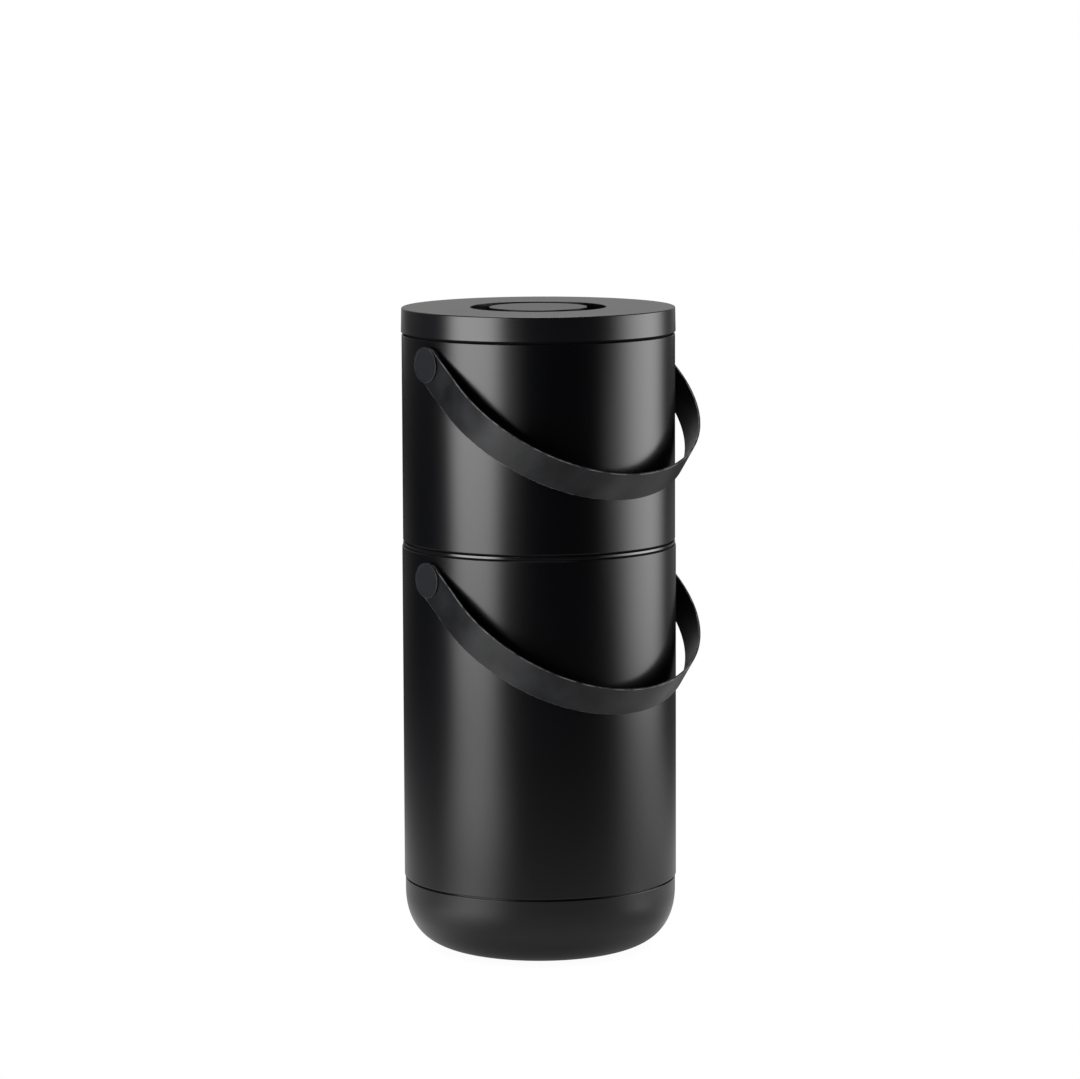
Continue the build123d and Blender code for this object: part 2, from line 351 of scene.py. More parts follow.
class BoredLathe(Lathe):
    """Turned wall with a round bore through it at both ends of the X axis."""

    HALF_CELLS = 3
    ROW_SLACK = 0.01
    RADIUS_DIGITS = 6

    def __init__(self, corners: Sequence[Corner], height: float, bore: float) -> None:
        """Keep the outline and the bores.

        Args:
            corners: Corners of the outline, with rows() of each wall among them.
            height: Height of the bores.
            bore: Radius of the bores.
        """
        super().__init__(corners)
        self.height = height
        self.bore = bore
        beside = [start for start, _ in self.outline.spans if self._row(start) is not None]
        self.radii = sorted({round(start.place.x, self.RADIUS_DIGITS) for start in beside})

    @classmethod
    def rows(cls, radius: float, height: float) -> list[Corner]:
        """Rows that a wall needs round its bores, from the lowest up.

        Args:
            radius: Radius of the wall.
            height: Height of the bores.

        Returns:
            The corners of the rows.
        """
        cell = 2 * math.pi * radius / cls.WALL_SEGMENTS
        reach = range(-cls.HALF_CELLS - 1, cls.HALF_CELLS + 2)
        return [Corner(radius, height + row * cell) for row in reach]

    def _row(self, point: ProfilePoint) -> int | None:
        """Row of a point counted from the bores.

        Args:
            point: Point of the profile.

        Returns:
            The row, or None away from the bores.
        """
        cell = 2 * math.pi * point.place.x / self.segments
        row = (point.place.y - self.height) / cell
        near = abs(row - round(row)) < self.ROW_SLACK and abs(round(row)) <= self.HALF_CELLS
        return round(row) if near else None

    def _column(self, step: int) -> int:
        """Steps from the nearer end of the X axis."""
        half = self.segments // 2
        return (step + half // 2) % half - half // 2

    def keeps(self, start: ProfilePoint, end: ProfilePoint, step: int) -> bool:
        """False inside the patch that the bore takes out."""
        inside = -self.HALF_CELLS <= self._column(step) < self.HALF_CELLS
        return not inside or None in (self._row(start), self._row(end))

    def corner(self, point: ProfilePoint, step: int) -> FaceCorner:
        """A turned corner, drawn in to the bore's edge where it bounds the patch.

        Args:
            point: Point of the profile.
            step: Step round the axis.

        Returns:
            The face corner there.
        """
        plain = super().corner(point, step)
        row = self._row(point)
        column = self._column(step)
        if row is None or max(abs(row), abs(column)) != self.HALF_CELLS:
            return plain
        across = Vector((column, row)).normalized() * self.bore
        radius = point.place.x
        side = math.copysign(1.0, plain.place.x)
        place = Vector((side * math.sqrt(radius**2 - across.x**2), side * across.x, self.height + across.y))
        normal = Vector((place.x, place.y, 0)).normalized() * math.copysign(1.0, point.normal.x)
        return FaceCorner(place, normal)

    def faces(self) -> FaceCollector:
        """All faces of the wall and of its bores.

        Returns:
            The collector that holds them.
        """
        collector = super().faces()
        reach = self.HALF_CELLS
        border = [(c, -reach) for c in range(-reach, reach)]
        border += [(reach, r) for r in range(-reach, reach)]
        border += [(c, reach) for c in range(reach, -reach, -1)]
        border += [(-reach, r) for r in range(reach, -reach, -1)]
        inner, outer = self.radii
        for half in (0, self.segments // 2):
            for here, after in zip(border, border[1:] + border[:1]):
                quad = []
                for radius, (column, row) in ((outer, here), (inner, here), (inner, after), (outer, after)):
                    cell = 2 * math.pi * radius / self.segments
                    level = ProfilePoint(Vector((radius, self.height + row * cell)), Vector((1, 0)))
                    place = self.corner(level, half + column).place
                    inward = Vector((0, -place.y, self.height - place.z)).normalized()
                    quad.append(FaceCorner(place, inward))
                collector.add(quad)
        return collector


class Patches(NamedTuple):
    """Noise cut to soft patches: features per metre, detail, and the levels between which a patch rises."""

    scale: float
    detail: float
    low: float
    high: float


class NodeBench:
    """Places nodes in one tree and joins them up."""

    VALUE_OPERATIONS = ("LENGTH", "DISTANCE", "DOT_PRODUCT")
    NOISE_MIDDLE = 0.5

    def __init__(self, tree: bpy.types.NodeTree) -> None:
        """Work on a tree."""
        self.tree = tree

    def feed(self, socket: Socket, given: Given) -> None:
        """Link an input to a socket, or set a fixed value on it.

        Args:
            socket: The input.
            given: A socket or a fixed value.
        """
        if isinstance(given, Socket):
            self.tree.links.new(given, socket)
        else:
            socket.default_value = given

    def node(
        self, kind: str, inputs: Mapping[str | int, Given] | None = None, **settings: object
    ) -> bpy.types.Node:
        """Place a node.

        Args:
            kind: Type of the node, without its prefix.
            inputs: Values or sockets for its inputs, by name or number.
            settings: Properties of the node.

        Returns:
            The node.
        """
        node = self.tree.nodes.new(f"ShaderNode{kind}")
        for name, setting in settings.items():
            setattr(node, name, setting)
        for key, given in (inputs or {}).items():
            self.feed(node.inputs[key], given)
        return node

    def math(self, operation: str, *given: Given) -> Socket:
        """Result of a math operation."""
        return self.node("Math", dict(enumerate(given)), operation=operation).outputs["Value"]

    def vector(self, operation: str, *given: Given) -> Socket:
        """Result of a vector operation, a number or a vector as the operation has it."""
        output = "Value" if operation in self.VALUE_OPERATIONS else "Vector"
        return self.node("VectorMath", dict(enumerate(given)), operation=operation).outputs[output]

    def step(self, given: Given, low: float, high: float, start: float = 0.0, end: float = 1.0) -> Socket:
        """Smooth step of a value between two levels.

        Args:
            given: Value to judge.
            low: Level at which the step begins.
            high: Level at which it ends.
            start: Result below the step.
            end: Result above the step.

        Returns:
            The stepped value.
        """
        inputs = {"Value": given, "From Min": low, "From Max": high, "To Min": start, "To Max": end}
        return self.node("MapRange", inputs, interpolation_type="SMOOTHSTEP").outputs["Result"]

    def noise(self, scale: Given, detail: float) -> Socket:
        """Noise over the object's own coordinates, its scale in features per metre."""
        place = self.node("TexCoord").outputs["Object"]
        return self.node("TexNoise", {"Vector": place, "Scale": scale, "Detail": detail}).outputs["Fac"]

    def wander(self, scale: Given, detail: float) -> Socket:
        """Noise that runs to both sides of 0."""
        return self.math("SUBTRACT", self.noise(scale, detail), self.NOISE_MIDDLE)

    def patches(self, kind: Patches) -> Socket:
        """Soft patches, 1 inside and 0 outside."""
        return self.step(self.noise(kind.scale, kind.detail), kind.low, kind.high)

    def edge(self) -> Socket:
        """The mesh's edge value: above 0 on outer edges, below 0 in inner corners."""
        return self.node("Attribute", attribute_name="edge").outputs["Fac"]

    def blend(self, share: Given, first: Given, second: Given) -> Socket:
        """Mix of two colours by the share of the second."""
        inputs = {"Factor": share, "A": first, "B": second}
        return self.node("Mix", inputs, data_type="RGBA").outputs["Result"]


class SurfaceEffect:
    """Shader node group that several finishes share, built once; its inputs are numbers or colours."""

    NAME = ""
    NUMBERS: tuple[str, ...] = ()
    COLOURS: tuple[str, ...] = ()
    OUTPUT = ("Colour", "NodeSocketColor")
    _built: dict[str, bpy.types.NodeTree] = {}

    @classmethod
    def wire(cls, bench: NodeBench, given: Mapping[str, Socket]) -> Socket:
        """Draw the effect inside its group.

        Args:
            bench: Bench on the group's tree.
            given: The group's inputs by name.

        Returns:
            The effect's result.
        """
        raise NotImplementedError

    @classmethod
    def group(cls) -> bpy.types.NodeTree:
        """The node group, made at the first call.

        Returns:
            The group's tree.
        """
        if cls.NAME not in cls._built:
            tree = bpy.data.node_groups.new(cls.NAME, "ShaderNodeTree")
            for socket in cls.COLOURS:
                tree.interface.new_socket(socket, in_out="INPUT", socket_type="NodeSocketColor")
            for socket in cls.NUMBERS:
                tree.interface.new_socket(socket, in_out="INPUT", socket_type="NodeSocketFloat")
            tree.interface.new_socket(cls.OUTPUT[0], in_out="OUTPUT", socket_type=cls.OUTPUT[1])
            inputs = tree.nodes.new("NodeGroupInput").outputs
            result = cls.wire(NodeBench(tree), {name: inputs[name] for name in (*cls.COLOURS, *cls.NUMBERS)})
            tree.links.new(result, tree.nodes.new("NodeGroupOutput").inputs[cls.OUTPUT[0]])
            cls._built[cls.NAME] = tree
        return cls._built[cls.NAME]

    @classmethod
    def place(cls, tree: bpy.types.NodeTree, **given: Given) -> Socket:
        """Put the effect in a material's tree.

        Args:
            tree: The material's tree.
            given: Values or sockets for its inputs.

        Returns:
            The effect's output.
        """
        bench = NodeBench(tree)
        return bench.node("Group", given, node_tree=cls.group()).outputs[cls.OUTPUT[0]]


class FineGrain(SurfaceEffect):
    """Height of a fine moulded or sprayed grain."""

    NAME = "fine_grain"
    NUMBERS = ("Scale",)
    OUTPUT = ("Height", "NodeSocketFloat")
    FINE_DETAIL = 2.0
    COARSE_DETAIL = 1.0
    COARSE_SCALE = 0.31
    COARSE_SHARE = 0.6

    @classmethod
    def wire(cls, bench: NodeBench, given: Mapping[str, Socket]) -> Socket:
        """Two sizes of noise, the coarse one at about a third of the scale.

        Args:
            bench: Bench on the group's tree.
            given: The group's inputs by name.

        Returns:
            The height.
        """
        fine = bench.noise(given["Scale"], cls.FINE_DETAIL)
        coarse_scale = bench.math("MULTIPLY", given["Scale"], cls.COARSE_SCALE)
        coarse = bench.noise(coarse_scale, cls.COARSE_DETAIL)
        return bench.math("ADD", fine, bench.math("MULTIPLY", coarse, cls.COARSE_SHARE))


class Handling(SurfaceEffect):
    """Roughness that wanders a little, as on a surface that has been wiped and handled."""

    NAME = "handling"
    NUMBERS = ("Roughness", "Amount", "Scale")
    OUTPUT = ("Roughness", "NodeSocketFloat")
    DETAIL = 1.0

    @classmethod
    def wire(cls, bench: NodeBench, given: Mapping[str, Socket]) -> Socket:
        """Broad noise to both sides of 0, times the amount, added to the roughness.

        Args:
            bench: Bench on the group's tree.
            given: The group's inputs by name.

        Returns:
            The roughness.
        """
        change = bench.math("MULTIPLY", bench.wander(given["Scale"], cls.DETAIL), given["Amount"])
        return bench.math("ADD", given["Roughness"], change)


class SoftClouds(SurfaceEffect):
    """Colour that gets a little lighter and darker in soft patches."""

    NAME = "soft_clouds"
    COLOURS = ("Colour",)
    NUMBERS = ("Amount", "Scale")
    DETAIL = 3.0

    @classmethod
    def wire(cls, bench: NodeBench, given: Mapping[str, Socket]) -> Socket:
        """Soft noise to both sides of 0, times the amount, scales the colour.

        Args:
            bench: Bench on the group's tree.
            given: The group's inputs by name.

        Returns:
            The clouded colour.
        """
        drift = bench.wander(given["Scale"], cls.DETAIL)
        inputs = {"Vector": given["Colour"], "Scale": bench.math("MULTIPLY_ADD", drift, given["Amount"], 1.0)}
        return bench.node("VectorMath", inputs, operation="SCALE").outputs["Vector"]


class EdgeWearAndHighlight(SurfaceEffect):
    """Lighter colour along rounded edges, broken up by noise: real wear on most finishes, a painted highlight
    along the strap's edges.
    """

    NAME = "edge_wear_and_highlight"
    COLOURS = ("Colour", "Worn")
    NUMBERS = ("Amount",)
    EDGE_BREAKUP = Patches(scale=140.0, detail=3.0, low=0.3, high=0.7)

    @classmethod
    def wire(cls, bench: NodeBench, given: Mapping[str, Socket]) -> Socket:
        """The mesh's edge value times broken noise times the amount.

        Args:
            bench: Bench on the group's tree.
            given: The group's inputs by name.

        Returns:
            The colour with its lighter edges.
        """
        mask = bench.math("MULTIPLY", bench.math("MAXIMUM", bench.edge(), 0.0), bench.patches(cls.EDGE_BREAKUP))
        share = bench.math("MULTIPLY", mask, given["Amount"])
        return bench.blend(share, given["Colour"], given["Worn"])


class SettledDust(SurfaceEffect):
    """Thin pale dust on faces that look up and in inner corners."""

    NAME = "settled_dust"
    COLOURS = ("Colour", "Dust")
    NUMBERS = ("Amount",)
    DRIFTS = Patches(scale=22.0, detail=5.0, low=0.35, high=0.75)
    MOTES = Patches(scale=900.0, detail=1.0, low=0.5, high=0.8)
    UPWARD = (0.5, 1.0)
    HOLLOW_SHARE = -0.7

    @classmethod
    def wire(cls, bench: NodeBench, given: Mapping[str, Socket]) -> Socket:
        """Upward faces and hollow corners, broken up by two noises.

        Args:
            bench: Bench on the group's tree.
            given: The group's inputs by name.

        Returns:
            The dusty colour.
        """
        facing = bench.node("NewGeometry").outputs["Normal"]
        upward = bench.step(bench.node("SeparateXYZ", {"Vector": facing}).outputs["Z"], *cls.UPWARD)
        hollow = bench.math("MULTIPLY", bench.math("MINIMUM", bench.edge(), 0.0), cls.HOLLOW_SHARE)
        broken = bench.math("ADD", bench.patches(cls.DRIFTS), bench.patches(cls.MOTES))
        lies = bench.math("MULTIPLY", bench.math("ADD", upward, hollow), broken)
        share = bench.math("MULTIPLY", lies, given["Amount"])
        return bench.blend(share, given["Colour"], given["Dust"])


@dataclass(frozen=True)
class Finish:
    """A moulded, sprayed or metal surface: colour, gloss, grain, handling, lighter edges (wear, and on the
    strap a painted highlight) and dust.
    """

    name: str
    colour: Colour
    roughness: float
    worn: Colour
    grain_scale: float
    grain_depth: float
    handled: float = 0.02
    handled_scale: float = 9.0
    wear_and_highlight: float = 0.3
    dust: float = 0.01
    clouds: float = 0.3
    clouds_scale: float = 24.0
    specular: float = 0.5
    metallic: float = 0.0

    DUST_COLOUR = (0.30, 0.29, 0.27, 1.0)

    def material(self) -> bpy.types.Material:
        """The finish as a node material, built once.

        Returns:
            The material.
        """
        known = bpy.data.materials.get(self.name)
        if known:
            return known
        made = bpy.data.materials.new(self.name)
        made.use_nodes = True
        tree = made.node_tree
        plain = (*self.colour, 1.0)
        worn = (*self.worn, 1.0)
        clouded = SoftClouds.place(tree, Colour=plain, Amount=self.clouds, Scale=self.clouds_scale)
        # Lighter edges: wear on most finishes, a painted highlight on the strap.
        rubbed_and_highlit = EdgeWearAndHighlight.place(tree, Colour=clouded, Worn=worn, Amount=self.wear_and_highlight)
        dusty = SettledDust.place(tree, Colour=rubbed_and_highlit, Dust=self.DUST_COLOUR, Amount=self.dust)
        gloss = Handling.place(tree, Roughness=self.roughness, Amount=self.handled, Scale=self.handled_scale)
        height = FineGrain.place(tree, Scale=self.grain_scale)
        bench = NodeBench(tree)
        bump = bench.node("Bump", {"Strength": 1.0, "Distance": self.grain_depth, "Height": height})
        shader = tree.nodes["Principled BSDF"].inputs
        bench.feed(shader["Specular IOR Level"], self.specular)
        bench.feed(shader["Metallic"], self.metallic)
        bench.feed(shader["Base Color"], dusty)
        bench.feed(shader["Roughness"], gloss)
        bench.feed(shader["Normal"], bump.outputs["Normal"])
        return made

    def dress(self, piece: bpy.types.Object) -> None:
        """Give a piece this finish.

        Args:
            piece: The piece to dress.
        """
        if not piece.material_slots:
            piece.data.materials.append(self.material())
        for slot in piece.material_slots:
            slot.link = "OBJECT"
            slot.material = self.material()


COATED_SHEET = Finish(
    "black_sheet_coat",
    colour=(0.0021, 0.0023, 0.0031),
    roughness=0.25,
    worn=(0.04, 0.04, 0.041),
    grain_scale=2600.0,
    grain_depth=4 * MICRON,
)
LID_SATIN = Finish(
    "satin_lid_plastic",
    colour=(0.0064, 0.0066, 0.0079),
    roughness=0.25,
    worn=(0.05, 0.05, 0.051),
    grain_scale=2200.0,
    grain_depth=6 * MICRON,
    specular=0.54,
)
WELL_MATT = Finish(
    "matt_well_plastic",
    colour=(0.0025, 0.0025, 0.0027),
    roughness=0.48,
    worn=(0.02, 0.02, 0.02),
    grain_scale=2200.0,
    grain_depth=4 * MICRON,
    specular=0.17,
)
GRIP_SATIN = Finish(
    "satin_grip_plastic",
    colour=(0.0058, 0.0070, 0.0090),
    roughness=0.29,
    worn=(0.05, 0.051, 0.053),
    grain_scale=2200.0,
    grain_depth=6 * MICRON,
)
BASE_GRAIN = Finish(
    "grained_foot_plastic",
    colour=(0.0050, 0.0051, 0.0055),
    roughness=0.26,
    worn=(0.03, 0.03, 0.031),
    grain_scale=1500.0,
    grain_depth=8 * MICRON,
)
# Near-black and matte, so the rim and pan faces that show in the seam gaps read as painted shade; inside the
# bin it is also the plain black plastic of the rims and pan.
INNER_PLASTIC_SEAM_SHADE = Finish(
    "inner_plastic_seam_shade",
    colour=(0.0035, 0.0035, 0.0037),
    roughness=0.75,
    worn=(0.02, 0.02, 0.02),
    grain_scale=1300.0,
    grain_depth=15 * MICRON,
    specular=0.08,
)
POLISHED_RING = Finish(
    "polished_seam_ring",
    colour=(0.006, 0.0062, 0.0068),
    roughness=0.13,
    worn=(0.03, 0.03, 0.031),
    grain_scale=2600.0,
    grain_depth=2 * MICRON,
    specular=1.0,
)
# The strap's pale edge colour (0.5) at a high amount is a painted highlight: it draws the thin light lines
# along its rounded edges.
SOFT_STRAP = Finish(
    "soft_touch_strap",
    colour=(0.0108, 0.0112, 0.0128),
    roughness=0.32,
    worn=(0.5, 0.5, 0.51),
    grain_scale=1700.0,
    grain_depth=12 * MICRON,
    handled=0.15,
    handled_scale=38.0,
    wear_and_highlight=0.6,
    clouds=3.0,
    clouds_scale=42.0,
    specular=0.32,
)
CAP_COAT = Finish(
    "blue_grey_cap_coat",
    colour=(0.0075, 0.0084, 0.0110),
    roughness=0.42,
    worn=(0.14, 0.144, 0.15),
    grain_scale=1900.0,
    grain_depth=10 * MICRON,
    wear_and_highlight=0.4,
    specular=0.40,
)
BLACK_NYLON = Finish(
    "black_nylon",
    colour=(0.008, 0.008, 0.0083),
    roughness=0.6,
    worn=(0.04, 0.04, 0.04),
    grain_scale=1500.0,
    grain_depth=10 * MICRON,
)
BRUSHED_STEEL = Finish(
    "brushed_steel",
    colour=(0.56, 0.56, 0.55),
    roughness=0.32,
    worn=(0.7, 0.7, 0.69),
    grain_scale=2400.0,
    grain_depth=8 * MICRON,
    metallic=1.0,
)
BLACK_RUBBER = Finish(
    "black_rubber",
    colour=(0.014, 0.014, 0.014),
    roughness=0.78,
    worn=(0.03, 0.03, 0.03),
    grain_scale=1200.0,
    grain_depth=30 * MICRON,
    specular=0.3,
)


@dataclass
class Assembly:
    """Pieces that ride on one body."""

    body: str
    pieces: list[str] = field(default_factory=list)

    def seat(self, piece: bpy.types.Object, finish: Finish, slot: str, *nodes: str) -> None:
        """Dress a new piece, let it ride on the body and let it stand for its nodes.

        Args:
            piece: The new piece.
            finish: Its finish.
            slot: Slot of the record for its finish; not used.
            nodes: Nodes that it stands for.
        """
        finish.dress(piece)
        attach(piece, self.body)
        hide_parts(*nodes)
        self.pieces.append(piece.name)

    def keep(self, finish: Finish, *nodes: str) -> None:
        """Dress nodes of the frame whose shape is right.

        Args:
            finish: Their finish.
            nodes: Names of the nodes.
        """
        for name in nodes:
            finish.dress(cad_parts[name])
            self.pieces.append(name)

    def build(self) -> None:
        """Make and dress all pieces."""
        raise NotImplementedError


@dataclass
class Bucket(Assembly):
    """One bucket: coated sleeve, rim and pivots."""

    tier: Tier = Tier.LOWER
    wall: float = 1.0 * MM
    hem: float = 8.0 * MM
    edge_round: float = 0.8 * MM
    top_relief: float = 0.0
    bore: float = 8.1 * MM
    cap_round: float = 0.5 * MM
    dish_margin: float = 2.0 * MM
    dish_depth: float = 0.25 * MM
    dish_round: float = 0.1 * MM
    cap_plate: float = 1.7 * MM
    shoulder_radius: float = 6.0 * MM
    shoulder_length: float = 2.1 * MM
    stud_radius: float = 3.0 * MM
    stud_round: float = 0.4 * MM

    @property
    def pivot_height(self) -> float:
        """Height of the handle pivots."""
        low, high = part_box(f"{self.tier.value}_left_pivot_cap")
        return (low.z + high.z) / 2

    def sleeve(self) -> None:
        """Sheet wall with hemmed edges and a bore for each pivot bush."""
        name = f"{self.tier.value}_sleeve"
        low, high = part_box(name)
        outer = high.x
        inner = outer - self.wall
        hem_bore = inner - self.wall
        top = high.z - self.top_relief
        corners = [
            Corner(hem_bore, low.z),
            Corner(outer, low.z, self.edge_round),
            *BoredLathe.rows(outer, self.pivot_height),
            Corner(outer, top, self.edge_round),
            Corner(hem_bore, top),
            Corner(hem_bore, high.z - self.hem),
            Corner(inner, high.z - self.hem),
            *reversed(BoredLathe.rows(inner, self.pivot_height)),
            Corner(inner, low.z + self.hem),
            Corner(hem_bore, low.z + self.hem),
        ]
        wall = BoredLathe(corners, self.pivot_height, self.bore)
        piece = wall.faces().make(f"{self.tier.value}_coated_wall")
        self.seat(piece, COATED_SHEET, "sleeve_coat", name)

    def pivot_cap(self, side: Side) -> None:
        """Round cap with a shallow dish, its shoulder and its stud.

        Args:
            side: Pivot that it stands at.
        """
        name = f"{self.tier.value}_{side.word}_pivot_cap"
        low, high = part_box(name)
        face, stud_end = sorted((abs(low.x), abs(high.x)), reverse=True)
        radius = (high.z - low.z) / 2
        plate = face - self.cap_plate
        shoulder = plate - self.shoulder_length
        dish = radius - self.dish_margin
        corners = [
            Corner(0, stud_end),
            Corner(self.stud_radius, stud_end, self.stud_round),
            Corner(self.stud_radius, shoulder),
            Corner(self.shoulder_radius, shoulder),
            Corner(self.shoulder_radius, plate),
            Corner(radius, plate),
            Corner(radius, face, self.cap_round),
            Corner(dish, face, self.dish_round),
            Corner(dish - self.dish_depth, face - self.dish_depth, self.dish_round),
            Corner(0, face - self.dish_depth),
        ]
        raised = Matrix.Translation((0, 0, self.pivot_height))
        turn = raised @ Matrix.Rotation(side.value * math.pi / 2, 4, "Y")
        cap = Lathe(corners, Lathe.CAP_SEGMENTS, ring=False)
        piece = cap.faces().make(f"{self.tier.value}_{side.word}_cap", turn)
        self.seat(piece, CAP_COAT, "pivot_coat", name)

    def build(self) -> None:
        """Make the wall and caps and dress the rim and pivot hardware."""
        self.sleeve()
        self.keep(INNER_PLASTIC_SEAM_SHADE, f"{self.tier.value}_rim")
        for side in Side:
            self.pivot_cap(side)
            prefix = f"{self.tier.value}_{side.word}_pivot"
            self.keep(BLACK_NYLON, f"{prefix}_bush")
            self.keep(BRUSHED_STEEL, f"{prefix}_washer", f"{prefix}_nut")


@dataclass
class BaseBucket(Bucket):
    """Lower bucket with the rounded cup that it stands on."""

    groove: float = 3.3 * MM
    neck: float = 1.6 * MM
    spigot_inset: float = 1.3 * MM
    spigot_rise: float = 10.0 * MM
    cup_wall: float = 2.5 * MM
    cup_floor: float = 3.0 * MM
    cup_taper: float = 4.0 * MM
    cup_corner: float = 51.4 * MM
    cup_fullness: float = 0.64
    cup_edge: float = 0.6 * MM
    bend_steps: int = 28
    foot_recess: float = 1.2 * MM
    foot_gap: float = 0.1 * MM

    def _bend(self, radius: float, floor: float, corner: float) -> list[Corner]:
        """Full rounded corner of the cup, from the floor up to the wall.

        Args:
            radius: Radius of the wall.
            floor: Height of the floor.
            corner: Size of the corner.

        Returns:
            The points of the curve.
        """
        slack = corner * (1 - self.cup_fullness)
        ends = [
            Vector((radius - corner, floor)),
            Vector((radius - slack, floor)),
            Vector((radius, floor + slack)),
            Vector((radius, floor + corner)),
        ]
        return curve_corners(ends, self.bend_steps)

    def base_cup(self) -> None:
        """Moulded cup: recess for the pad, rounded foot, seam groove and spigot."""
        low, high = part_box("base_cup")
        pad_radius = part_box("foot_pad")[1].x + self.foot_gap
        seam = high.z - self.spigot_rise
        top = seam - self.neck
        radius = high.x
        neck_radius = radius - self.groove
        spigot_radius = radius - self.spigot_inset
        bore = radius - self.cup_wall
        floor = low.z + self.cup_floor
        corners = [
            Corner(0, low.z + self.foot_recess),
            Corner(pad_radius, low.z + self.foot_recess),
            Corner(pad_radius, low.z),
            *self._bend(radius, low.z, self.cup_corner),
            Corner(radius, top, self.cup_edge),
            Corner(neck_radius, top),
            Corner(neck_radius, seam),
            Corner(spigot_radius, seam),
            Corner(spigot_radius, high.z),
            Corner(spigot_radius - self.cup_wall, high.z),
            Corner(spigot_radius - self.cup_wall, top),
            Corner(bore, top - self.cup_taper),
            *reversed(self._bend(bore, floor, self.cup_corner - self.cup_wall)),
            Corner(0, floor),
        ]
        piece = Lathe(corners, ring=False).faces().make("rounded_foot_cup")
        self.seat(piece, BASE_GRAIN, "base_moulding", "base_cup")

    def build(self) -> None:
        """Make the bucket and its base."""
        super().build()
        self.base_cup()
        self.keep(BLACK_RUBBER, "foot_pad")


@dataclass
class TopBucket(Bucket):
    """Upper bucket with its pan and the glossy ring in the seam."""

    tier: Tier = Tier.UPPER
    top_relief: float = 0.8 * MM
    ring_round: float = 0.3 * MM
    ring_top_relief: float = 0.55 * MM
    ring_drop: float = 0.25 * MM

    def stacking_ring(self) -> None:
        """Thin ring with a flat polished edge, round the pan."""
        low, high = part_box("stacking_ring")
        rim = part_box("lower_rim")[1].x
        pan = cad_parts["upper_floor"].data.vertices
        inside = max(vertex.co.x for vertex in pan if vertex.co.z < low.z)
        corners = [
            Corner(inside, low.z),
            Corner(rim, low.z),
            Corner(high.x, low.z - self.ring_drop, self.ring_round),
            Corner(high.x, high.z - self.ring_top_relief, self.ring_round),
            Corner(inside, high.z),
        ]
        piece = Lathe(corners).faces().make("seam_ring")
        self.seat(piece, POLISHED_RING, "ring_gloss", "stacking_ring")

    def build(self) -> None:
        """Make the bucket, its ring and its pan."""
        super().build()
        self.stacking_ring()
        self.keep(INNER_PLASTIC_SEAM_SHADE, "upper_floor")


